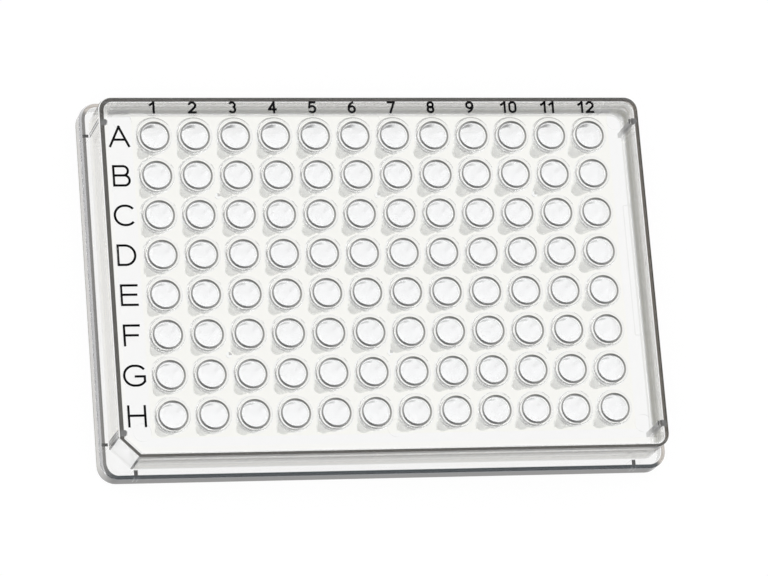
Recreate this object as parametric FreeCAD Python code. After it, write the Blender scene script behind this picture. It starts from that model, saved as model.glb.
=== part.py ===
"""A 96-well plate for thermal cycling, moulded in one piece from clear plastic.

All sizes are in millimetres. The origin is the middle of the footprint on the surface that the
plate stands on, +X runs towards column 12, +Y towards row A and +Z up out of the wells.
"""
import FreeCAD, Part
import math
import os
from FreeCAD import Vector

# Well grid, on the pitch that pipettes, sealers and cyclers share.
rows = 8
columns = 12
pitch = 9.0

# Foot: the wide band at the bottom that fits a plate carrier.
end_margin = 14.38          # centre of column 1 or 12 to the end of the foot
side_margin = 11.24         # centre of row A or H to the side of the foot
foot_height = 4.4
foot_radius = 4.0
foot_wall = 1.0
ledge_thickness = 1.0
foot_round = 0.4            # rounding of the ledge's outer edge

# Skirt: the upright wall between the ledge and the deck.
ledge_width = 2.15          # how far the skirt stands in from the foot
skirt_wall = 1.0
skirt_radius = 3.0
skirt_lean = 0.12           # mould draft: the skirt is this much narrower on each side at its top
corner_cut = 4.5            # legs of the flat that marks well H1
rim_round = 0.25

# Deck: the flat top that carries the wells.
deck_height = 15.0
deck_thickness = 1.0

# Wells: a raised collar, a short barrel, a long cone and a round tip.
collar_diameter = 8.0
collar_height = 0.6
collar_chamfer = 0.25
mouth_diameter = 5.6
mouth_flare = 0.2           # width and depth of the lead-in at the mouth
barrel_depth = 4.0          # from the collar's top to where the cone begins
barrel_taper = 0.1          # loss of radius over the barrel
barrel_wall = 0.45
well_depth = 14.0
tip_radius = 1.25           # inside radius of the round tip
tip_wall = 0.35

# Ribs that stiffen the moulding, all on inside faces.
rib_width = 1.0
rib_reach = 0.8
skirt_rib_setback = 5.6     # from the skirt's long side to the middle of a rib on the short side
foot_rib_width = 0.9
foot_rib_reach = 1.1
foot_rib_setback = 7.7      # from the foot's corner, along its long and its short sides

# Marks left by the mould, all on the deck's underside.
gate_diameter = 1.3
gate_height = 0.4
ejector_diameter = 4.0
ejector_depth = 0.12
ejector_inset = 5.6         # from the skirt's outer face to the middle of an ejector mark

# Label panel: a shallow recess in the skirt at column 12.
panel_length = 30.0
panel_depth = 0.2
panel_edge = 0.8            # plain wall left above the panel

# Printed grid letters and numbers.
ink_thickness = 0.04
letter_height = 4.9
letter_pen = 0.52
letter_gap = 1.7            # from the first column's collars to the letters
number_height = 2.8
number_pen = 0.5
number_gap = 1.25           # from row A's collars to the numbers

# Worked out from the sizes above.
grid_half_x = (columns - 1) * pitch / 2
grid_half_y = (rows - 1) * pitch / 2
foot_half_x = grid_half_x + end_margin
foot_half_y = grid_half_y + side_margin
skirt_half_x = foot_half_x - ledge_width
skirt_half_y = foot_half_y - ledge_width
ledge_underside = foot_height - ledge_thickness
deck_underside = deck_height - deck_thickness
collar_top = deck_height + collar_height
barrel_end = collar_top - barrel_depth
well_bottom = collar_top - well_depth

# Characters in units of the pen's travel up one character, as the middle of the pen goes:
# ("bar", x1, y1, x2, y2) is straight, ("bow", x, y, radius, from, to) is round, in degrees.
# The number before each list is the character's width.
CHARACTERS = {
    "A": (0.94, [("bar", 0, 0, 0.47, 1), ("bar", 0.47, 1, 0.94, 0), ("bar", 0.18, 0.33, 0.76, 0.33)]),
    "B": (0.79, [("bar", 0, 0, 0, 1), ("bar", 0, 1, 0.49, 1), ("bar", 0, 0.52, 0.53, 0.52),
                 ("bar", 0, 0, 0.53, 0), ("bow", 0.49, 0.76, 0.24, -90, 90),
                 ("bow", 0.53, 0.26, 0.26, -90, 90)]),
    "C": (0.93, [("bow", 0.5, 0.5, 0.5, 90, 270), ("bar", 0.5, 1, 0.56, 1), ("bar", 0.5, 0, 0.56, 0),
                 ("bow", 0.56, 0.5, 0.5, 42, 90), ("bow", 0.56, 0.5, 0.5, 270, 318)]),
    "D": (0.86, [("bar", 0, 0, 0, 1), ("bar", 0, 1, 0.36, 1), ("bar", 0, 0, 0.36, 0),
                 ("bow", 0.36, 0.5, 0.5, -90, 90)]),
    "E": (0.78, [("bar", 0, 0, 0, 1), ("bar", 0, 1, 0.78, 1), ("bar", 0, 0.52, 0.74, 0.52),
                 ("bar", 0, 0, 0.78, 0)]),
    "F": (0.74, [("bar", 0, 0, 0, 1), ("bar", 0, 1, 0.74, 1), ("bar", 0, 0.5, 0.66, 0.5)]),
    "G": (1.02, [("bow", 0.5, 0.5, 0.5, 90, 270), ("bar", 0.5, 1, 0.61, 1), ("bar", 0.5, 0, 0.61, 0),
                 ("bow", 0.61, 0.5, 0.5, 38, 90), ("bow", 0.61, 0.5, 0.5, 270, 326),
                 ("bar", 1.02, 0.21, 1.02, 0.46), ("bar", 0.58, 0.46, 1.02, 0.46)]),
    "H": (0.82, [("bar", 0, 0, 0, 1), ("bar", 0.82, 0, 0.82, 1), ("bar", 0, 0.53, 0.82, 0.53)]),
    "0": (0.60, [("bow", 0.3, 0.7, 0.3, 0, 180), ("bow", 0.3, 0.3, 0.3, 180, 360),
                 ("bar", 0, 0.3, 0, 0.7), ("bar", 0.6, 0.3, 0.6, 0.7)]),
    "1": (0.34, [("bar", 0.34, 0, 0.34, 1), ("bar", 0, 0.74, 0.34, 1)]),
    "2": (0.62, [("bow", 0.31, 0.69, 0.31, -30, 170), ("bar", 0.578, 0.535, 0, 0),
                 ("bar", 0, 0, 0.62, 0)]),
    "3": (0.58, [("bow", 0.28, 0.74, 0.26, -80, 160), ("bow", 0.28, 0.28, 0.28, -160, 80)]),
    "4": (0.64, [("bar", 0.48, 0, 0.48, 1), ("bar", 0.48, 1, 0, 0.3), ("bar", 0, 0.3, 0.64, 0.3)]),
    "5": (0.60, [("bar", 0.1, 1, 0.56, 1), ("bar", 0.1, 1, 0.02, 0.48),
                 ("bow", 0.29, 0.31, 0.31, -150, 140)]),
    "6": (0.60, [("bow", 0.3, 0.3, 0.3, 0, 360), ("bow", 0.6, 0.4, 0.6, 100, 190)]),
    "7": (0.60, [("bar", 0, 1, 0.6, 1), ("bar", 0.6, 1, 0.22, 0)]),
    "8": (0.58, [("bow", 0.29, 0.74, 0.26, 0, 360), ("bow", 0.29, 0.27, 0.28, 0, 360)]),
    "9": (0.60, [("bow", 0.3, 0.7, 0.3, 0, 360), ("bow", 0, 0.6, 0.6, -80, 10)]),
}


def outline(half_x, half_y, radius, cut, z):
    """Rounded rectangle at height z, with a straight cut instead of the H1 corner if cut is set."""
    corners = [(half_x, half_y, 0), (-half_x, half_y, 90), (-half_x, -half_y, 180), (half_x, -half_y, 270)]
    runs = []
    for x, y, start in corners:
        if cut and start == 180:
            runs.append((Vector(x, y + cut, z), None, Vector(x + cut, y, z)))
            continue
        middle = Vector(x - math.copysign(radius, x), y - math.copysign(radius, y), z)
        points = []
        for degrees in (start, start + 45, start + 90):
            angle = math.radians(degrees)
            points.append(middle + Vector(radius * math.cos(angle), radius * math.sin(angle), 0))
        runs.append(tuple(points))
    edges = []
    for i, (first, middle, last) in enumerate(runs):
        if middle is None:
            edges.append(Part.LineSegment(first, last).toShape())
        else:
            edges.append(Part.Arc(first, middle, last).toShape())
        edges.append(Part.LineSegment(last, runs[(i + 1) % len(runs)][0]).toShape())
    return Part.Wire(edges)


def foot_block(inset, z_low, z_high):
    """Upright block in the plan of the foot, set in by inset."""
    wire = outline(foot_half_x - inset, foot_half_y - inset, foot_radius - inset, 0, z_low)
    return Part.Face(wire).extrude(Vector(0, 0, z_high - z_low))


def skirt_block(inset, z_low, z_high):
    """Block in the plan of the skirt, set in by inset and leaning with the mould draft."""
    cut = corner_cut - (2 - math.sqrt(2)) * inset
    wires = []
    for z in (z_low, z_high):
        lean = skirt_lean * (z - foot_height) / (deck_height - foot_height)
        shrink = inset + lean
        wires.append(outline(skirt_half_x - shrink, skirt_half_y - shrink, skirt_radius - inset, cut, z))
    return Part.makeLoft(wires, True, True)


def outer_edges(shape, z, half_x, half_y):
    """Edges at height z that run along the outer face of a block of this half size."""
    near = 0.3
    found = []
    for edge in shape.Edges:
        box = edge.BoundBox
        if abs(box.ZMin - z) > 1e-4 or abs(box.ZMax - z) > 1e-4:
            continue
        reach = max(abs(box.XMin), abs(box.XMax)) > half_x - near
        reach = reach or max(abs(box.YMin), abs(box.YMax)) > half_y - near
        if reach:
            found.append(edge)
    return found


def shell():
    """Foot, ledge, skirt and deck as one wall, open below."""
    foot = foot_block(0, 0, foot_height)
    foot = foot.makeFillet(foot_round, outer_edges(foot, foot_height, foot_half_x, foot_half_y))
    skirt = skirt_block(0, ledge_underside, deck_height)
    top = outer_edges(skirt, deck_height, skirt_half_x - skirt_lean, skirt_half_y - skirt_lean)
    skirt = skirt.makeFillet(rim_round, top)
    hollow = skirt_block(skirt_wall, ledge_underside, deck_underside)
    return foot.fuse(skirt).cut([foot_block(foot_wall, 0, ledge_underside), hollow])


def well_form(mouth_radius, barrel_radius, ball_radius, bottom):
    """Solid of revolution inside a well's wall: a barrel, then a cone that runs tangent into a ball."""
    ball_middle = bottom + ball_radius
    rise = barrel_end - ball_middle
    slant = math.atan2(barrel_radius, rise) - math.asin(ball_radius / math.hypot(barrel_radius, rise))
    meet = Vector(ball_radius * math.cos(slant), 0, ball_middle - ball_radius * math.sin(slant))
    half = math.radians(90 + math.degrees(slant)) / 2
    between = Vector(ball_radius * math.sin(half), 0, ball_middle - ball_radius * math.cos(half))
    tip = Vector(0, 0, bottom)
    corners = [meet, Vector(barrel_radius, 0, barrel_end), Vector(mouth_radius, 0, collar_top),
               Vector(0, 0, collar_top), tip]
    edges = [Part.Arc(tip, between, meet).toShape()]
    for start, end in zip(corners, corners[1:]):
        edges.append(Part.LineSegment(start, end).toShape())
    return Part.Face(Part.Wire(edges)).revolve(Vector(), Vector(0, 0, 1), 360)


def well_outside():
    """Outside of one well: its tapered body and the chamfered collar above the deck."""
    mouth = mouth_diameter / 2
    body = well_form(mouth + barrel_wall, mouth - barrel_taper + barrel_wall,
                     tip_radius + tip_wall, well_bottom - tip_wall)
    collar = Part.makeCylinder(collar_diameter / 2, collar_height, Vector(0, 0, deck_height))
    top_edges = [edge for edge in collar.Edges if edge.BoundBox.ZMin > deck_height]
    collar = collar.makeChamfer(collar_chamfer, top_edges)
    return body.fuse(collar)


def well_inside():
    """Space inside one well, with a flared lead-in at its mouth."""
    mouth = mouth_diameter / 2
    space = well_form(mouth, mouth - barrel_taper, tip_radius, well_bottom)
    flare = Part.makeCone(mouth, mouth + mouth_flare, mouth_flare, Vector(0, 0, collar_top - mouth_flare))
    return space.fuse(flare)


def at_each_well(form):
    """Copies of a form, one on the axis of each well."""
    copies = []
    for row in range(rows):
        for column in range(columns):
            copy = form.copy()
            copy.translate(Vector(column * pitch - grid_half_x, grid_half_y - row * pitch, 0))
            copies.append(copy)
    return copies


def skirt_ribs():
    """Upright ribs inside the short sides of the skirt, two on each side."""
    reach = skirt_wall / 2 + rib_reach
    ribs = []
    for side in (-1, 1):
        for end in (-1, 1):
            x = side * (skirt_half_x - skirt_wall / 2)
            y = end * (skirt_half_y - skirt_rib_setback)
            rib = Part.makeBox(reach, rib_width, deck_underside - ledge_underside,
                               Vector(min(x, x - side * reach), y - rib_width / 2, ledge_underside))
            ribs.append(rib)
    return ribs


def foot_ribs():
    """Small ribs inside the foot's wall, two on each of its four sides."""
    reach = foot_wall / 2 + foot_rib_reach
    ribs = []
    for side in (-1, 1):
        for end in (-1, 1):
            x = side * (foot_half_x - foot_wall / 2)
            y = end * (foot_half_y - foot_rib_setback)
            corner = Vector(min(x, x - side * reach), y - foot_rib_width / 2, 0)
            ribs.append(Part.makeBox(reach, foot_rib_width, ledge_underside, corner))
            x = end * (foot_half_x - foot_rib_setback)
            y = side * (foot_half_y - foot_wall / 2)
            corner = Vector(x - foot_rib_width / 2, min(y, y - side * reach), 0)
            ribs.append(Part.makeBox(foot_rib_width, reach, ledge_underside, corner))
    return ribs


def gate_nubs():
    """Short nubs where the plastic was let in, each in the middle of four wells."""
    nubs = []
    for x in (-4 * pitch, 0, 4 * pitch):
        for y in (-2 * pitch, 2 * pitch):
            base = Vector(x, y, deck_underside - gate_height)
            nubs.append(Part.makeCylinder(gate_diameter / 2, gate_height + deck_thickness / 2, base))
    return nubs


def ejector_marks():
    """Shallow round marks around the edge of the deck's underside."""
    marks = []
    for x in (-1, 0, 1):
        for y in (-1, 1):
            place = Vector(x * (skirt_half_x - ejector_inset), y * (skirt_half_y - ejector_inset),
                           deck_underside - ejector_depth)
            marks.append(Part.makeCylinder(ejector_diameter / 2, 2 * ejector_depth, place))
    return marks


def label_panel():
    """Shallow recess in the outer face of the skirt at column 12."""
    height = deck_height - panel_edge - foot_height
    return Part.makeBox(panel_depth + ledge_width, panel_length, height,
                        Vector(skirt_half_x - skirt_lean - panel_depth, -panel_length / 2, foot_height))


def plate():
    """The whole moulding."""
    body = shell()
    body = body.multiFuse(skirt_ribs() + foot_ribs() + gate_nubs() + at_each_well(well_outside()))
    body = body.cut(at_each_well(well_inside()) + ejector_marks() + [label_panel()])
    return body.removeSplitter()


def stroke(kind, numbers, size, pen):
    """Ink of one pen stroke, its pen coordinates scaled by size."""
    if kind == "bar":
        x1, y1, x2, y2 = [size * n for n in numbers]
        length = math.hypot(x2 - x1, y2 - y1)
        ink = Part.makeBox(length + pen, pen, ink_thickness, Vector(-pen / 2, -pen / 2, 0))
        ink.rotate(Vector(), Vector(0, 0, 1), math.degrees(math.atan2(y2 - y1, x2 - x1)))
        ink.translate(Vector(x1, y1, 0))
        return ink
    x, y, radius = [size * n for n in numbers[:3]]
    start, end = numbers[3:]
    up = Vector(0, 0, 1)
    ink = Part.makeCylinder(radius + pen / 2, ink_thickness, Vector(), up, end - start)
    ink = ink.cut(Part.makeCylinder(radius - pen / 2, ink_thickness, Vector(), up))
    ink.rotate(Vector(), up, start)
    ink.translate(Vector(x, y, 0))
    return ink


def printed(text, height, pen, middle_x, base_y):
    """Ink of one label, centred on middle_x and standing on base_y, on top of the deck."""
    size = height - pen
    space = 2.2 * pen
    widths = [CHARACTERS[character][0] * size for character in text]
    x = middle_x - (sum(widths) + space * (len(text) - 1)) / 2
    inks = []
    for character, width in zip(text, widths):
        strokes = [stroke(kind, numbers, size, pen) for kind, *numbers in CHARACTERS[character][1]]
        ink = strokes[0].fuse(strokes[1:]).removeSplitter() if len(strokes) > 1 else strokes[0]
        ink.translate(Vector(x, base_y + pen / 2, deck_height))
        inks.extend(ink.Solids)
        x += width + space
    return inks


def row_letters():
    """Letters A to H, each level with its row, between the skirt and column 1."""
    middle_x = -grid_half_x - collar_diameter / 2 - letter_gap - CHARACTERS["H"][0] * letter_height / 2
    inks = []
    for row in range(rows):
        base_y = grid_half_y - row * pitch - letter_height / 2
        inks += printed("ABCDEFGH"[row], letter_height, letter_pen, middle_x, base_y)
    return Part.makeCompound(inks)


def column_numbers():
    """Numbers 1 to 12, each above its column, between the skirt and row A."""
    base_y = grid_half_y + collar_diameter / 2 + number_gap
    inks = []
    for column in range(columns):
        middle_x = column * pitch - grid_half_x
        inks += printed(str(column + 1), number_height, number_pen, middle_x, base_y)
    return Part.makeCompound(inks)


os.makedirs("parts", exist_ok=True)
nodes = {"plate": plate(), "row_letters": row_letters(), "column_numbers": column_numbers()}
for name, shape in nodes.items():
    print(name, "solids", len(shape.Solids), "valid", shape.isValid(), "volume", round(shape.Volume, 1))
    print("   box", shape.BoundBox)
    shape.exportStep("parts/" + name + ".step")
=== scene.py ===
import math

import bmesh
import bpy
from mathutils import Matrix, Quaternion, Vector


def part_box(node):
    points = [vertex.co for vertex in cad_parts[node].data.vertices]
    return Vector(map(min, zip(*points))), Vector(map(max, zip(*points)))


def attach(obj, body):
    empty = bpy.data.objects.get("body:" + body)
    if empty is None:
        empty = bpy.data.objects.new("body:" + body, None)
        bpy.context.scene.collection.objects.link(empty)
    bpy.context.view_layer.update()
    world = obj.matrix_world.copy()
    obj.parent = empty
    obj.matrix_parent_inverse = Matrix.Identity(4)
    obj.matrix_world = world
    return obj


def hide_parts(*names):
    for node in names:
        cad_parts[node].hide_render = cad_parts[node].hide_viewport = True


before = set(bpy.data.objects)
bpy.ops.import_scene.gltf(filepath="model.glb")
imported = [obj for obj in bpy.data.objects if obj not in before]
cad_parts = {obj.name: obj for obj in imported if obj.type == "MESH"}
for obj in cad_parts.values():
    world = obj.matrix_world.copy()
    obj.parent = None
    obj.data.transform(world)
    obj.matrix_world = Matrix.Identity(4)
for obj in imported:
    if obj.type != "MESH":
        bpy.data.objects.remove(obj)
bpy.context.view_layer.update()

MM = 0.001      # the scene is in metres; the moulding's sizes below are in millimetres
DIAGONAL = math.sqrt(0.5)

# The foot, skirt and deck, from the frame and the moulding's own walls.
FOOT_HALF_X, FOOT_HALF_Y, COLLAR_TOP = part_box("plate")[1] / MM
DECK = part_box("row_letters")[0].z / MM
WALL = 1.0
FOOT_HEIGHT = 4.4
FOOT_RADIUS = 4.0
FOOT_ROUND = 0.4
LEDGE_WIDTH = 2.15
SKIRT_RADIUS = 3.0
SKIRT_LEAN = 0.12
SKIRT_FILLET = 0.1
CORNER_CUT = 4.5
RIM_ROUND = 0.25
SKIRT_HALF_X = FOOT_HALF_X - LEDGE_WIDTH
SKIRT_HALF_Y = FOOT_HALF_Y - LEDGE_WIDTH
LEDGE_UNDERSIDE = FOOT_HEIGHT - WALL
DECK_UNDERSIDE = DECK - WALL
# The skirt's half length and half width up at the deck, and how far out the cut corner is.
TOP_HALF_X, TOP_HALF_Y = SKIRT_HALF_X - SKIRT_LEAN, SKIRT_HALF_Y - SKIRT_LEAN
TO_CUT = (TOP_HALF_X + TOP_HALF_Y - CORNER_CUT) * DIAGONAL

# The wells.
ROWS, COLUMNS, PITCH = 8, 12, 9
GRID_HALF_X, GRID_HALF_Y = (COLUMNS - 1) * PITCH / 2, (ROWS - 1) * PITCH / 2
COLLAR_RADIUS = 4.0
COLLAR_FILLET = 0.2
COLLAR_ROUND = 0.25
MOUTH_RADIUS = 2.8
MOUTH_ROUND = 0.2
BARREL_DEPTH = 4.0
BARREL_TAPER = 0.1
BARREL_WALL = 0.45
BARREL_FILLET = 0.3
WELL_DEPTH = 14.0
CONE_TAPER = 0.155      # how much the middle of the cone's wall narrows in 1 mm of depth
TIP_RADIUS = 1.25
TIP_WALL = 0.35
WELL_SIDES = 40
MARK_SIDES = 24

# Ribs inside the walls (width, reach), the mould's marks under the deck, and the label panel.
SKIRT_RIB = (1.0, 0.8)
SKIRT_RIB_SETBACK = 5.6
SKIRT_RIB_PLACE = SKIRT_HALF_Y - SKIRT_RIB_SETBACK
RIB_EDGE = SKIRT_RIB[0] / 2
FOOT_RIB = (0.9, 1.1)
FOOT_RIB_SETBACK = 7.7
GATE_RADIUS, GATE_HEIGHT = 0.65, 0.4
GATE_COLUMNS, GATE_ROWS = (-4, 0, 4), (-2, 2)       # in pitches from the middle of the plate
EJECTOR_RADIUS, EJECTOR_DEPTH, EJECTOR_INSET = 2.0, 0.12, 5.6
PANEL_HALF, PANEL_DEPTH, PANEL_DRAFT, PANEL_EDGE = 15, 0.2, 0.02, 0.8
PANEL_LINE_MIDDLE, PANEL_LINE_HALF = 60, 4      # the panel's faint line on the deck, along the rows
PATCH_PLACE, PATCH_HALF = 55.3, 2.3                 # the darker patches painted on the inner face of the row A side's wall
LETTER_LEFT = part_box("row_letters")[0].x / MM
WORN_STEMS = {"A": 0.2, "B": 0.5, "D": 0.6, "E": 1.0, "H": 0.45}

# How finely the meshes are made, and the angle past which an edge stays sharp.
NEAR = 0.001
CORNER_STEPS = 8
CREASE = math.radians(50)

FLOOR_HALF = 6.0    # metres
SKY_TOP = 0.65      # brightness of the surround overhead, 1 at the horizon


def plan(half_x, half_y, rib, short_ribs, long_ribs):
    """Corners of a wall seen from above, anticlockwise, stepping in round each rib.

    Gives the points and which of them are the four corners, from row A column 12 round to H12.
    """
    ends = [Vector((x * half_x, y * half_y)) for x, y in ((1, 1), (-1, 1), (-1, -1), (1, -1))]
    points, corners = [], []
    for side, start in enumerate(ends):
        finish = ends[(side + 1) % 4]
        along = (finish - start).normalized()
        inward = Vector((-along.y, along.x))
        corners.append(len(points))
        points.append(start)
        setback = short_ribs if side % 2 else long_ribs
        if setback is None:
            continue
        width, reach = rib
        middle = (start + finish) / 2
        for place in (-setback, setback):
            for across, depth in ((-width / 2, 0), (-width / 2, reach), (width / 2, reach), (width / 2, 0)):
                points.append(middle + along * (place + across) + inward * depth)
    return points, corners


def outline(mesh, half_x, half_y, z, radius, cut=0, rib=None, short_ribs=None, long_ribs=None):
    """Loop of edges round a wall at height z, its corners rounded and the H1 corner cut if cut is set."""
    before = set(mesh.edges)
    points, corners = plan(half_x, half_y, rib, short_ribs, long_ribs)
    verts = [mesh.verts.new((point.x, point.y, z)) for point in points]
    mesh.faces.new(verts)
    rounded = [verts[corner] for i, corner in enumerate(corners) if not (cut and i == 2)]
    if cut:
        bmesh.ops.bevel(mesh, geom=[verts[corners[2]]], offset=cut, segments=1, profile=0.5,
                        material=-1, affect="VERTICES")
    bmesh.ops.bevel(mesh, geom=rounded, offset=radius, segments=CORNER_STEPS, profile=0.5, material=-1,
                    affect="VERTICES")
    loop = [edge for edge in mesh.edges if edge not in before]
    faces = list({face for edge in loop for face in edge.link_faces})
    bmesh.ops.delete(mesh, geom=faces, context="FACES_ONLY")
    return loop


def foot_outline(mesh, inset, z, ribs=False):
    """The foot's plan at height z, set in by inset."""
    setbacks = {}
    if ribs:
        setbacks = {"rib": FOOT_RIB, "short_ribs": FOOT_HALF_Y - FOOT_RIB_SETBACK,
                    "long_ribs": FOOT_HALF_X - FOOT_RIB_SETBACK}
    return outline(mesh, FOOT_HALF_X - inset, FOOT_HALF_Y - inset, z, FOOT_RADIUS - inset, **setbacks)


def skirt_outline(mesh, inset, z, ribs=False):
    """The skirt's plan at height z, set in by inset and by the mould draft."""
    lean = SKIRT_LEAN * (z - FOOT_HEIGHT) / (DECK - FOOT_HEIGHT)
    cut = CORNER_CUT - (2 - math.sqrt(2)) * inset
    setbacks = {"rib": SKIRT_RIB, "short_ribs": SKIRT_RIB_PLACE} if ribs else {}
    return outline(mesh, SKIRT_HALF_X - inset - lean, SKIRT_HALF_Y - inset - lean, z,
                   SKIRT_RADIUS - inset, cut, **setbacks)


def arc(middle_r, middle_z, radius, start, end, steps):
    """Points of a round stretch of a turned profile, its angles in degrees."""
    points = []
    for step in range(steps + 1):
        angle = math.radians(start + (end - start) * step / steps)
        points.append((middle_r + radius * math.cos(angle), middle_z + radius * math.sin(angle)))
    return points


def ball_end(barrel_radius, ball_radius, bottom):
    """Cone from the end of a well's barrel, tangent to the ball at its tip."""
    middle = bottom + ball_radius
    rise = COLLAR_TOP - BARREL_DEPTH - middle
    slant = math.atan2(barrel_radius, rise) - math.asin(ball_radius / math.hypot(barrel_radius, rise))
    points = [(barrel_radius, COLLAR_TOP - BARREL_DEPTH)]
    points += arc(0, middle, ball_radius, -math.degrees(slant), -90, 4)
    points[-1] = (0, bottom)
    return points


def turned(profile, sides):
    """Mesh data of a profile spun once round the Z axis."""
    mesh = bmesh.new()
    verts = [mesh.verts.new((r, 0, z)) for r, z in profile]
    edges = [mesh.edges.new(pair) for pair in zip(verts, verts[1:])]
    bmesh.ops.spin(mesh, geom=verts + edges, cent=(0, 0, 0), axis=(0, 0, 1), angle=math.tau,
                   steps=sides, use_merge=True)
    bmesh.ops.remove_doubles(mesh, verts=mesh.verts, dist=NEAR)
    data = bpy.data.meshes.new("turned")
    mesh.to_mesh(data)
    mesh.free()
    return data


def set_down(mesh, data, places):
    """A copy of turned data at each place."""
    at = Vector()
    for place in places:
        data.transform(Matrix.Translation(place - at))
        mesh.from_mesh(data)
        at = place
    bpy.data.meshes.remove(data)


def close_level(mesh, z, facing):
    """Flat faces over everything that is still open at height z."""
    edges = [edge for edge in mesh.edges
             if len(edge.link_faces) < 2 and all(abs(vert.co.z - z) < NEAR for vert in edge.verts)]
    bmesh.ops.triangle_fill(mesh, edges=edges, use_beauty=True, normal=(0, 0, facing))


def well_places():
    """The axis of each well."""
    return [Vector((column * PITCH - GRID_HALF_X, GRID_HALF_Y - row * PITCH, 0))
            for row in range(ROWS) for column in range(COLUMNS)]


def well_top():
    """Profile from the deck over the collar and down inside the well."""
    fillet = arc(COLLAR_RADIUS + COLLAR_FILLET, DECK + COLLAR_FILLET, COLLAR_FILLET, 270, 180, 2)
    edge = arc(COLLAR_RADIUS - COLLAR_ROUND, COLLAR_TOP - COLLAR_ROUND, COLLAR_ROUND, 0, 90, 2)
    mouth = arc(MOUTH_RADIUS + MOUTH_ROUND, COLLAR_TOP - MOUTH_ROUND, MOUTH_ROUND, 90, 180, 2)
    inside = ball_end(MOUTH_RADIUS - BARREL_TAPER, TIP_RADIUS, COLLAR_TOP - WELL_DEPTH)
    return fillet + edge + mouth + inside


def well_underside():
    """Profile from the deck's underside down the outside of the well."""
    radius = MOUTH_RADIUS + BARREL_WALL
    fillet = arc(radius + BARREL_FILLET, DECK_UNDERSIDE - BARREL_FILLET, BARREL_FILLET, 90, 180, 2)
    tip = COLLAR_TOP - WELL_DEPTH - TIP_WALL
    return fillet + ball_end(radius - BARREL_TAPER, TIP_RADIUS + TIP_WALL, tip)


def raise_walls(mesh):
    """Foot, ledge and skirt, from the outside of the rim over to the space under the deck."""
    def join(loops):
        for lower, upper in zip(loops, loops[1:]):
            bmesh.ops.bridge_loops(mesh, edges=lower + upper)

    foot = [foot_outline(mesh, 0, 0)]
    for r, z in arc(0, FOOT_HEIGHT - FOOT_ROUND, FOOT_ROUND, 0, 90, 4):
        foot.append(foot_outline(mesh, FOOT_ROUND - r, z))
    join(foot)
    skirt = []
    for r, z in arc(0, FOOT_HEIGHT + SKIRT_FILLET, SKIRT_FILLET, 270, 180, 3):
        skirt.append(skirt_outline(mesh, -(SKIRT_FILLET + r), z))
    for r, z in arc(0, DECK - RIM_ROUND, RIM_ROUND, 0, 90, 3):
        skirt.append(skirt_outline(mesh, RIM_ROUND - r, z))
    join(skirt)
    join([skirt_outline(mesh, WALL, DECK_UNDERSIDE, True), skirt_outline(mesh, WALL, LEDGE_UNDERSIDE, True)])
    join([foot_outline(mesh, WALL, LEDGE_UNDERSIDE, True), foot_outline(mesh, WALL, 0, True)])


def sink_panel(mesh):
    """Sinks the outer face of the skirt at column 12 a little, from its foot to PANEL_EDGE under the deck.

    The cuts at PANEL_HALF only split the foot's face and the fillet over the ledge, so the panel runs the
    whole straight length of the wall, and not just the PANEL_HALF either side of the middle.
    """
    def widest():
        outside = (face for face in mesh.faces if face.normal.x > 0.9 or face.normal.x < -0.9)
        return max(outside, key=lambda face: (round(face.calc_center_median().x), face.calc_area()))

    wall = widest()
    for place, across in (((0, PANEL_HALF, 0), (0, 1, 0)), ((0, -PANEL_HALF, 0), (0, -1, 0)),
                          ((0, 0, DECK - PANEL_EDGE), (0, 0, 1))):
        parts = [wall] + list(wall.edges) + list(wall.verts)
        bmesh.ops.bisect_plane(mesh, geom=parts, dist=NEAR, plane_co=place, plane_no=across)
        wall = min((face for face in mesh.faces if abs(face.calc_center_median().x - SKIRT_HALF_X) < 0.3
                    and abs(face.normal.x) > 0.9), key=lambda face: face.calc_center_median().length_squared)
    bmesh.ops.inset_individual(mesh, faces=[wall], thickness=PANEL_DRAFT, depth=-PANEL_DEPTH)


def build_plate():
    """The whole moulding as one closed mesh."""
    mesh = bmesh.new()
    raise_walls(mesh)
    bmesh.ops.recalc_face_normals(mesh, faces=mesh.faces)
    sink_panel(mesh)
    wells = well_places()
    set_down(mesh, turned(well_top(), WELL_SIDES), wells)
    set_down(mesh, turned(well_underside(), WELL_SIDES), wells)
    gates = [Vector((x * PITCH, y * PITCH, DECK_UNDERSIDE)) for x in GATE_COLUMNS for y in GATE_ROWS]
    mark = [(GATE_RADIUS, 0), (GATE_RADIUS, -GATE_HEIGHT), (0, -GATE_HEIGHT)]
    set_down(mesh, turned(mark, MARK_SIDES), gates)
    ejector_x, ejector_y = SKIRT_HALF_X - EJECTOR_INSET, SKIRT_HALF_Y - EJECTOR_INSET
    ejectors = [Vector((x * ejector_x, y * ejector_y, DECK_UNDERSIDE)) for x in (-1, 0, 1) for y in (-1, 1)]
    mark = [(EJECTOR_RADIUS, 0), (EJECTOR_RADIUS, EJECTOR_DEPTH), (0, EJECTOR_DEPTH)]
    set_down(mesh, turned(mark, MARK_SIDES), ejectors)
    for z, facing in ((0, -1), (LEDGE_UNDERSIDE, -1), (FOOT_HEIGHT, 1), (DECK_UNDERSIDE, -1), (DECK, 1)):
        close_level(mesh, z, facing)
    bmesh.ops.remove_doubles(mesh, verts=mesh.verts, dist=NEAR)
    bmesh.ops.recalc_face_normals(mesh, faces=mesh.faces)
    bmesh.ops.scale(mesh, vec=(MM, MM, MM), verts=mesh.verts)
    for face in mesh.faces:
        face.smooth = True
    for edge in mesh.edges:
        edge.smooth = len(edge.link_faces) == 2 and edge.calc_face_angle() < CREASE
    piece = finished(mesh, "moulded_plate")
    flats = piece.modifiers.new("flats_first", "WEIGHTED_NORMAL")
    flats.mode, flats.keep_sharp = "FACE_AREA", True
    return piece


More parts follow.
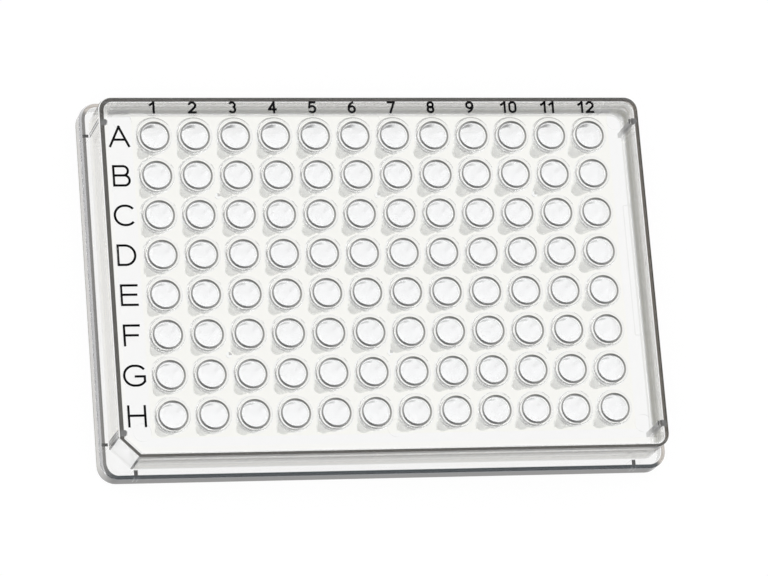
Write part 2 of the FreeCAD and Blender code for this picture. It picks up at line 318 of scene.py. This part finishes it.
def finished(mesh, name):
    """An object at the origin from a bmesh."""
    data = bpy.data.meshes.new(name)
    mesh.to_mesh(data)
    mesh.free()
    piece = bpy.data.objects.new(name, data)
    bpy.context.scene.collection.objects.link(piece)
    return piece


class Value:
    """A socket in a finish; arithmetic on it adds Math nodes."""

    def __init__(self, finish, socket):
        self.finish, self.socket = finish, socket

    def maths(self, operation, *values):
        return self.finish.add("ShaderNodeMath", {"operation": operation}, dict(enumerate(values)))

    def __add__(self, other):
        return self.maths("ADD", self, other)

    def __sub__(self, other):
        return self.maths("SUBTRACT", self, other)

    def __rsub__(self, other):
        return self.maths("SUBTRACT", other, self)

    def __abs__(self):
        return self.maths("ABSOLUTE", self)

    def __mul__(self, other):
        return self.maths("MULTIPLY", self, other)

    def __truediv__(self, other):
        return self.maths("DIVIDE", self, other)

    __radd__ = __add__
    __rmul__ = __mul__

    def root(self):
        return self.maths("SQRT", self)

    def at_least(self, other):
        return self.maths("MAXIMUM", self, other)

    def at_most(self, other):
        return self.maths("MINIMUM", self, other)

    def rise(self, low, high):
        """0 below low, 1 above high and smooth between; the other way round if high is the lower one."""
        return self.finish.add("ShaderNodeMapRange", {"interpolation_type": "SMOOTHSTEP"},
                               {"Value": self, "From Min": low, "From Max": high})

    def within(self, low, high, soft):
        """1 between low and high, fading to 0 over soft outside them."""
        return self.rise(low - soft, low + soft) * self.rise(high + soft, high - soft)


class Finish:
    """The node tree of a material or of the world."""

    def __init__(self, owner):
        owner.use_nodes = True
        self.tree = owner.node_tree
        self.tree.nodes.clear()

    def add(self, kind, settings=None, inputs=None, output=0):
        """A new node; its settings are put in first, then the values or links of its sockets."""
        node = self.tree.nodes.new(kind)
        for name, value in (settings or {}).items():
            setattr(node, name, value)
        for key, value in (inputs or {}).items():
            if isinstance(value, Value):
                self.tree.links.new(value.socket, node.inputs[key])
            else:
                node.inputs[key].default_value = value
        return node if output is None else Value(self, node.outputs[output])

    def place(self):
        """Where on the piece the surface is, in mm."""
        where = self.add("ShaderNodeTexCoord", output="Object")
        split = self.add("ShaderNodeSeparateXYZ", None, {0: where}, None)
        return [Value(self, split.outputs[axis]) * (1 / MM) for axis in range(3)]

    def blend(self, mask, under, over):
        """The colour under where the mask is 0, and over where it is 1."""
        return self.add("ShaderNodeMix", {"data_type": "RGBA"}, {0: mask, 6: under, 7: over}, 2)

    def clear(self, colour, coats):
        """Clear plastic under coats of (mask, what one surface lets through, cover).

        Light keeps the square root of the base colour at each surface, so what goes in is squared here.
        """
        cover = 1
        for mask, through, thick in coats:
            colour = self.blend(mask, colour, through)
            cover = cover + (thick - cover) * mask
        squared = self.add("ShaderNodeVectorMath", {"operation": "MULTIPLY"}, {0: colour, 1: colour})
        return self.add("ShaderNodeBsdfPrincipled", None, {
            "Base Color": squared, "Roughness": 0.03, "IOR": 1.49, "Transmission Weight": 1.0, "Alpha": cover})


def round_corners(x, y, half_x, half_y, radius):
    """Distance in mm outside a rounded rectangle; negative inside it."""
    over_x, over_y = abs(x) - (half_x - radius), abs(y) - (half_y - radius)
    reach_x, reach_y = over_x.at_least(0), over_y.at_least(0)
    outside = (reach_x * reach_x + reach_y * reach_y).root()
    return outside + over_x.at_least(over_y).at_most(0) - radius


def grey(level):
    """A grey that lets this much of the light through one surface."""
    return (level, level, level, 1)


DARK = grey(0.05)
WALL_PLASTIC = (0.99, 0.99, 0.988, 1)
WELL_PLASTIC = (0.99, 0.989, 0.97, 1)


def corner_share(x, y, half_x, half_y, radius):
    """Where a wall turns a corner: 1 on the short sides of the plate, 0 on the long ones."""
    reach_x = (abs(x) - (half_x - radius)).at_least(0)
    reach_y = (abs(y) - (half_y - radius)).at_least(0)
    return reach_x * reach_x / (reach_x * reach_x + reach_y * reach_y)


class Spot:
    """Where a point of the moulding lies, in mm, and how much it belongs to each side of the plate.

    Left is the side of column 1, right that of column 12, back that of row A and fore that of row H.
    """

    def __init__(self, finish):
        x, y, z = finish.place()
        self.x, self.y, self.z = x, y, z
        self.past_cut = (0 - x - y) * DIAGONAL - TO_CUT
        self.past_skirt = round_corners(x, y, TOP_HALF_X, TOP_HALF_Y, SKIRT_RADIUS).at_least(self.past_cut)
        self.past_foot = round_corners(x, y, FOOT_HALF_X, FOOT_HALF_Y, FOOT_RADIUS)
        self.on_cut = self.past_cut.rise(-0.15, -0.05)
        self.on_left, self.on_right = x.rise(0, -1), x.rise(0, 1)
        self.on_back, self.on_fore = y.rise(0, 1), y.rise(0, -1)
        self.share = corner_share(x, y, FOOT_HALF_X, FOOT_HALF_Y, FOOT_RADIUS)
        self.left, self.right = self.share * self.on_left, self.share * self.on_right
        self.back, self.fore = (1 - self.share) * self.on_back, (1 - self.share) * self.on_fore
        self.low = z.rise(DECK_UNDERSIDE, FOOT_HEIGHT)
        self.from_rib = abs(abs(y) - SKIRT_RIB_PLACE)
        self.inside_wall = SKIRT_HALF_X - WALL - abs(x)


def skirt_coats(spot):
    """Painted shade on the skirt's walls, on its creases beside the cut corner, and on its ribs and their
    image through the outer wall.
    """
    x, y, z = spot.x, spot.y, spot.z
    outer = z.within(FOOT_HEIGHT + 0.1, DECK - 0.06, 0.06) * spot.past_skirt.rise(-0.6, -0.4)
    inner = z.within(LEDGE_UNDERSIDE, DECK_UNDERSIDE, 0.1) * spot.past_skirt.rise(-2.4, -2.2)
    inner = inner * spot.past_skirt.rise(-0.4, -0.6)

    # The painted shade on the right and back walls is darkest at mid height; both shades run into each other
    # at the corner.
    turn = corner_share(x, y, TOP_HALF_X, TOP_HALF_Y, SKIRT_RADIUS)
    back_end = 0.95 - spot.on_right * 0.1
    back_wall = spot.on_back * turn.rise(back_end, back_end - 0.5)
    right_wall = spot.on_right * turn.rise(0.1, 0.6)
    right_shade = z.rise(5.3, 7.5) * 0.8 - z.rise(8.0, 12.6) * 0.75
    back_shade = z.rise(3.6, 7.4) * 0.77 - z.rise(7.4, 11.8) * 0.62 + z.rise(12.6, 13.6) * 0.08
    back_shade = back_shade * (1 - x.rise(-57.2, -58.8) * 0.4)
    # Darker patches painted into the back wall's shade, near each end of it.
    dark_patch = z.within(5.5, 8.5, 0.8) * abs(abs(x) - PATCH_PLACE).rise(PATCH_HALF + 0.3, PATCH_HALF - 0.3)

    # The two corners between the lit and the shaded sides get painted shade where the skirt bends.
    turn = turn * spot.on_back + (1 - turn) * spot.on_fore
    past_end = (y - TOP_HALF_Y) * spot.on_back + (x - TOP_HALF_X) * spot.on_fore
    bend = turn.rise(0.4, 0.55) * (past_end + (z - DECK) * 0.2).rise(-4.2, -2.5) * (x * y).rise(0, -1)

    # Light painted shade on the cut corner's walls, and dark lines painted along its two creases.
    cut_wall = spot.on_cut * outer + spot.past_cut.rise(-1.3, -1.2) * inner
    off_x, off_y = x + TOP_HALF_X, y + TOP_HALF_Y
    cut_x, cut_y = off_x - CORNER_CUT, off_y - CORNER_CUT
    from_left_crease = (off_x * off_x + cut_y * cut_y).root()
    from_fore_crease = (off_y * off_y + cut_x * cut_x).root()
    crease = from_left_crease.at_most(from_fore_crease + 0.06).rise(0.4, 0.28) * outer

    # The ribs' faces are painted dark, and where a rib shows through the outer wall its image is painted
    # there.
    rib_band = spot.from_rib.rise(RIB_EDGE + 0.1, RIB_EDGE)
    rib = rib_band * spot.inside_wall.within(0, 1.3, 0.1) * z.rise(DECK_UNDERSIDE + 0.1, DECK_UNDERSIDE)
    rib_through = outer * (1 - spot.fore) * (1 - spot.back) * rib_band
    return (
        (inner, (0.99, 0.985, 0.93, 1), 0.3 - right_wall * 0.16 - back_wall * 0.14),
        (outer, (0.97, 0.96, 0.9, 1), 0.3 - spot.right * 0.16 - spot.back * 0.14),
        # The left and fore walls' outer faces get painted shade, the fore wall darker.
        (outer * spot.left, (0.25, 0.21, 0.11, 1), 0.3 - spot.low * 0.1),
        (outer * spot.fore, (0.06, 0.045, 0.01, 1), 0.52 - spot.low * 0.15),
        (inner * right_wall, (0.08, 0.075, 0.03, 1), right_shade),
        (inner * back_wall, (0.05, 0.05, 0.02, 1), back_shade),
        (inner * spot.back * dark_patch, grey(0.03), 0.78),
        (cut_wall, grey(0.4), 0.17),
        (crease, grey(0.1), 0.9),
        (outer * bend, (0.05, 0.045, 0.035, 1), 0.88 - spot.low * 0.6),
        (rib_through, (0.1, 0.1, 0.095, 1), 0.42 + spot.on_fore * 0.28),
        (rib_through * spot.from_rib.rise(0.18, 0.3), DARK, 0.84),
        (rib, grey(0.02), 0.22 + z.rise(3.4, 9.5) * 0.62),
        (rib * spot.on_left, grey(0.5), 0.08),
    )


def foot_coats(spot):
    """Painted shade on the foot's faces and as a dark line round its ledge, and painted marks over the tops of
    its ribs.
    """
    x, y, z = spot.x, spot.y, spot.z
    # The foot's faces get painted shade, darkest on the fore side, with a darker bottom edge at the fore left
    # corner.
    face = z.rise(FOOT_HEIGHT - 0.3, FOOT_HEIGHT - 0.6) * spot.past_foot.rise(-0.2, -0.1)
    face_edge = face * z.rise(0.9, 0.3) * spot.share.within(0.1, 0.9, 0.1)
    face_edge = face_edge * (x * y).rise(0, 1) * spot.on_left

    # The ledge's painted dark line runs nearer the edge on the fore side, and turns pale on the back and
    # right; on the left a paler grey is painted outside it.
    ledge_start = FOOT_HEIGHT - 0.7 - spot.fore * 0.25
    flat = z.rise(ledge_start, ledge_start + 0.3) * spot.past_skirt.rise(0.3, 0.5)
    line_start = spot.fore * 0.2 - spot.left * 0.35 - 1.0
    line_end = spot.fore * 0.6 - spot.left * 0.42 - 0.2
    line = flat * spot.past_foot.within(line_start, line_end, 0.06)
    line = line * z.rise(FOOT_HEIGHT + 0.2, FOOT_HEIGHT + 0.1)
    edge = flat * spot.past_foot.rise(line_end - 0.06, line_end + 0.06) * spot.left
    pale = (spot.right + spot.back).rise(0.15, 0.6)

    # A painted dark tick, and fainter painted lines down the foot's face, where each of the foot's ribs shows
    # through the ledge.
    fore_rib = abs(abs(x) - (FOOT_HALF_X - FOOT_RIB_SETBACK)).rise(0.5, 0.35)
    left_rib = abs(abs(y) - (FOOT_HALF_Y - FOOT_RIB_SETBACK)).rise(0.4, 0.3)
    ribs = fore_rib * (0 - y - SKIRT_HALF_Y).rise(0, 0.2) + left_rib * (0 - x - SKIRT_HALF_X).rise(0, 0.2)
    ribs = ribs.at_most(1)
    tick = ribs * z.rise(FOOT_HEIGHT - 0.1, FOOT_HEIGHT) * spot.past_foot.within(-1.95, -0.6, 0.1)
    trace = abs(ribs - 0.5).rise(0.5, 0.3) * spot.past_foot.rise(-0.5, -0.3)
    trace = trace * z.within(FOOT_HEIGHT - 2.8, FOOT_HEIGHT + 0.1, 0.3)
    return (
        (face, grey(0.3), 0.5),
        (face * spot.left, (0.12, 0.1, 0.06, 1), 0.6 + z.rise(0.5, 0.1) * 0.12),
        (face * spot.fore, (0.035, 0.032, 0.028, 1), 1),
        (face_edge, grey(0.2), 0.8),
        (edge, (0.52, 0.52, 0.53, 1), 1),
        (line, (0.25, 0.245, 0.24, 1), 1),
        (line * spot.fore, (0.075, 0.085, 0.093, 1), 1),
        (line * pale, (0.6, 0.56, 0.52, 1), 1),
        (tick, DARK, 0.95),
        (trace, (0.45, 0.45, 0.46, 1), 1),
    )


def rim_coats(spot):
    """Painted shade as a dark band along the rim of the deck and as dark spots over the heads of the skirt's
    ribs under it, and the label panel's faint line.
    """
    x, y, z = spot.x, spot.y, spot.z
    label = round_corners(x - PANEL_LINE_MIDDLE, y, PANEL_LINE_HALF, PANEL_HALF, 0.3)
    label = abs(label).rise(0.2, 0.05) * z.rise(DECK - 0.1, DECK)
    # The rim's dark band is painted shade, lighter on the right and back.
    band = round_corners(x - 0.2, y + 0.2, TOP_HALF_X - 0.15, TOP_HALF_Y + 0.2, SKIRT_RADIUS)
    band = band.at_least(spot.past_cut * 1.6)
    rim_start = DECK - 1.0 - (spot.fore * (1 - spot.on_cut) * 0.6 - spot.on_cut * 0.7)
    rim = z.rise(rim_start, rim_start + 0.2) * band.within(-1.0, -0.06 + spot.fore * 0.3, 0.05)
    # A dark spot painted on the deck over the head of each skirt rib.
    past = (spot.inside_wall - 0.6).at_least(0)
    beside = y - y.maths("SIGN", y) * SKIRT_RIB_PLACE
    beside = beside.at_least(beside * -0.55)
    head = z.rise(DECK - 0.1, DECK) * (past * past + beside * beside).root().rise(0.6, 0.4)
    head = head * spot.inside_wall.rise(-0.5, -0.3)
    return (
        (label, (0.92, 0.92, 0.915, 1), 1),
        (rim, (0.112, 0.108, 0.1, 1), 1),
        (rim * spot.right, (0.23, 0.22, 0.205, 1), 1),
        (rim * spot.back, (0.18, 0.18, 0.178, 1), 1),
        (head, DARK, 0.85),
    )


def well_coats(spot):
    """Painted shade: a dark ring round each well's mouth, a fine line round its collar, and the shade on its
    cone and under its mouth.
    """
    y, z = spot.y, spot.z
    across, along = (value.maths("WRAP", value - PITCH / 2, PITCH / 2, -PITCH / 2) for value in (spot.x, y))
    from_axis = (across * across + along * along).root()
    first_row = y.rise(GRID_HALF_Y - 5, GRID_HALF_Y - 4.5)
    # Ways round the well: back right, fore right, and the two lobes where the painted ring is strongest.
    to_back_right = (across + along) * DIAGONAL / from_axis
    to_fore_right = (across - along) * DIAGONAL / from_axis
    lobes = (across * across - along * along) * -0.5 + across * along * 1.732
    lobes = lobes / (from_axis * from_axis)

    # The painted dark ring round the mouth, its middle and width changing with the way round.
    ring_middle = to_fore_right * 0.165 + to_back_right * 0.025 + 3.08
    ring_half = 0.26 - to_back_right * 0.04 - to_fore_right * 0.03
    ring = z.rise(DECK + 0.15, DECK + 0.3) * (lobes * 0.11 + 0.8)
    ring = ring * from_axis.within(ring_middle - ring_half, ring_middle + ring_half, 0.06)
    on_collar = z.rise(DECK + 0.3, DECK + 0.4)
    # A dark line painted on the collar's rounded edge at the fore left, and light painted shade on the
    # collar's top at the back right and on its outer wall.
    edge_shade = on_collar * from_axis.within(3.7, 3.98, 0.08) * to_back_right.rise(-0.3, -1)
    collar_flat = on_collar * from_axis.within(3.5, 4.05, 0.1) * to_back_right.rise(-0.6, 0.1)
    collar_wall = from_axis.within(3.95, 4.35, 0.05) * z.within(DECK - 0.05, COLLAR_TOP - 0.2, 0.05)

    # The cone's wall by height: outside it gets painted shade, darker near the collar and the tip, and inside
    # it a painted shade crescent under the mouth.
    body = z.rise(DECK_UNDERSIDE - 0.05, DECK_UNDERSIDE - 0.2).at_least(from_axis.rise(2.95, 2.9))
    cone = COLLAR_TOP - BARREL_DEPTH
    wall = MOUTH_RADIUS - BARREL_TAPER + BARREL_WALL / 2 + (z.at_most(cone) - cone) * CONE_TAPER
    to_shade = (across * -0.5 - along * 0.87) / from_axis
    shadow = body * (from_axis - wall).rise(-0.1, 0.1) * to_shade.rise(0.4, 0.85)
    near_collar = z.rise(10.3, 13.3) * to_shade.rise(0.75, 1)
    crescent = z.within(12.5, 14.2 + first_row * 0.5, 0.35) * (wall - from_axis).rise(-0.1, 0.1)
    crescent = crescent * ((along * 1.44 - across) * 0.57 / from_axis).rise(0.5, 0.95)
    return (
        (body, (0.94, 0.97, 1.0, 1), 0.14),
        (shadow, (0.15, 0.15, 0.145, 1), 0.3 + spot.low * 0.14 + near_collar * 0.2),
        (crescent, grey(0.1), 0.42 + first_row * 0.42),
        (collar_wall, (0.93, 0.93, 0.92, 1), 0.35),
        (collar_flat, (0.93, 0.93, 0.925, 1), 1),
        (edge_shade, (0.39, 0.39, 0.38, 1), 1),
        (ring, DARK, 1),
    )


def clear_plastic():
    """Clear polished moulding plastic; its darkness where a wall is seen along its length, and round and under
    the wells, is painted shade in its colour and alpha.
    """
    material = bpy.data.materials.new("clear_plastic")
    finish = Finish(material)
    spot = Spot(finish)
    at_walls = finish.clear(WALL_PLASTIC, skirt_coats(spot) + foot_coats(spot) + rim_coats(spot))
    at_wells = finish.clear(WELL_PLASTIC, well_coats(spot))
    in_grid = (abs(spot.x) - GRID_HALF_X).at_least(abs(spot.y) - GRID_HALF_Y).rise(5, 4.6)
    shader = finish.add("ShaderNodeMixShader", None, {0: in_grid, 1: at_walls, 2: at_wells})
    finish.add("ShaderNodeOutputMaterial", None, {"Surface": shader}, None)
    return material


def black_ink():
    """Black print, slightly mottled and worn thin on the left stems of some letters."""
    material = bpy.data.materials.new("black_ink")
    finish = Finish(material)
    x, y, _ = finish.place()
    where = finish.add("ShaderNodeTexCoord", output="Object")
    mottle = finish.add("ShaderNodeTexNoise", None, {"Vector": where, "Scale": 900.0, "Detail": 3.0}, "Fac")
    fleck = finish.add("ShaderNodeTexNoise", None, {"Vector": where, "Scale": 2600.0, "Detail": 2.0}, "Fac")
    stem = x.within(LETTER_LEFT - 0.3, LETTER_LEFT + 0.65, 0.1)
    tired = 0
    for letter, wear in WORN_STEMS.items():
        row = GRID_HALF_Y - PITCH * (ord(letter) - ord("A"))
        tired = tired + abs(y - row).rise(4, 3) * wear
    gone = (fleck + (mottle - 0.5) * 0.6).rise(0.66, 0.5) * stem * tired
    black = finish.blend(mottle.rise(0.35, 0.7), (0.001, 0.001, 0.0015, 1), (0.007, 0.007, 0.008, 1))
    shader = finish.add("ShaderNodeBsdfPrincipled", None, {
        "Base Color": black, "Roughness": 0.45 + mottle * 0.3, "Specular IOR Level": 0.03,
        "Alpha": 1 - gone * 0.65})
    finish.add("ShaderNodeOutputMaterial", None, {"Surface": shader}, None)
    return material


def seen(finish):
    """1 where the camera, a reflection or clear plastic looks, 0 where light is gathered."""
    looks = None
    for output in ("Is Camera Ray", "Is Glossy Ray", "Is Transmission Ray"):
        value = finish.add("ShaderNodeLightPath", output=output)
        looks = value if looks is None else looks.maths("MAXIMUM", looks, value)
    return looks


def lay_floor():
    """Pale floor that glows white where it is seen and still keeps the plate's shadow."""
    mesh = bmesh.new()
    bmesh.ops.create_grid(mesh, x_segments=1, y_segments=1, size=FLOOR_HALF)
    floor = finished(mesh, "floor")
    material = bpy.data.materials.new("pale_floor")
    finish = Finish(material)
    lit = finish.add("ShaderNodeBsdfDiffuse", None, {"Color": (0.8, 0.8, 0.8, 1)})
    glow = finish.add("ShaderNodeEmission", None, {"Color": (1, 1, 1, 1), "Strength": 0.93})
    faint = finish.add("ShaderNodeBsdfDiffuse", None, {"Color": (0.08, 0.08, 0.08, 1)})
    shown = finish.add("ShaderNodeAddShader", None, {0: glow, 1: faint})
    mixed = finish.add("ShaderNodeMixShader", None, {0: seen(finish), 1: lit, 2: shown})
    finish.add("ShaderNodeOutputMaterial", None, {"Surface": mixed}, None)
    floor.data.materials.append(material)


def light_studio():
    """A white surround and one broad soft lamp."""
    world = bpy.data.worlds.new("studio")
    bpy.context.scene.world = world
    finish = Finish(world)
    direction = finish.add("ShaderNodeTexCoord", output="Generated")
    height = finish.add("ShaderNodeSeparateXYZ", None, {0: direction}, output="Z")
    ramp = finish.add("ShaderNodeMapRange", None, {
        "Value": height, "From Min": 0.2, "From Max": 0.9, "To Min": 1.0, "To Max": SKY_TOP})
    level = seen(finish)
    strength = ramp * level + (1 - level) * 0.9
    back = finish.add("ShaderNodeBackground", None, {"Color": (1, 1, 1, 1), "Strength": strength})
    finish.add("ShaderNodeOutputWorld", None, {"Surface": back}, None)
    lamp = bpy.data.lights.new("softbox", "AREA")
    lamp.shape = "RECTANGLE"
    lamp.size, lamp.size_y = 0.5, 0.4
    lamp.energy = 1.5
    holder = bpy.data.objects.new("softbox", lamp)
    holder.location = (-0.3, -0.35, 0.75)
    aim = Vector((0, 0, 0)) - holder.location
    holder.rotation_mode = "QUATERNION"
    holder.rotation_quaternion = aim.to_track_quat("-Z", "Y")
    bpy.context.scene.collection.objects.link(holder)


def place_camera():
    """Camera looking down on the plate from the row H, column 1 side."""
    azimuth, elevation, roll = math.radians(-42.3), math.radians(68.83), math.radians(39.68)
    distance = 970.6 * MM
    look_at = Vector((-0.6, -3.7, COLLAR_TOP)) * MM
    back = Vector((math.sin(azimuth) * math.cos(elevation), -math.cos(azimuth) * math.cos(elevation),
                   math.sin(elevation)))
    camera = bpy.data.cameras.new("camera")
    camera.sensor_width = 36
    camera.lens = 207.9
    camera.clip_start, camera.clip_end = 0.01, 100
    holder = bpy.data.objects.new("camera", camera)
    holder.location = look_at + back * distance
    holder.rotation_mode = "QUATERNION"
    holder.rotation_quaternion = (-back).to_track_quat("-Z", "Y") @ Quaternion((0, 0, 1), roll)
    bpy.context.scene.collection.objects.link(holder)
    bpy.context.scene.camera = holder


bpy.context.scene.view_settings.view_transform = "Standard"
place_camera()
lay_floor()
light_studio()
plate = build_plate()
plate.data.materials.append(clear_plastic())
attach(plate, "root")
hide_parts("plate")
ink = black_ink()
for node in ("row_letters", "column_numbers"):
    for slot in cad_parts[node].material_slots:
        slot.material = ink
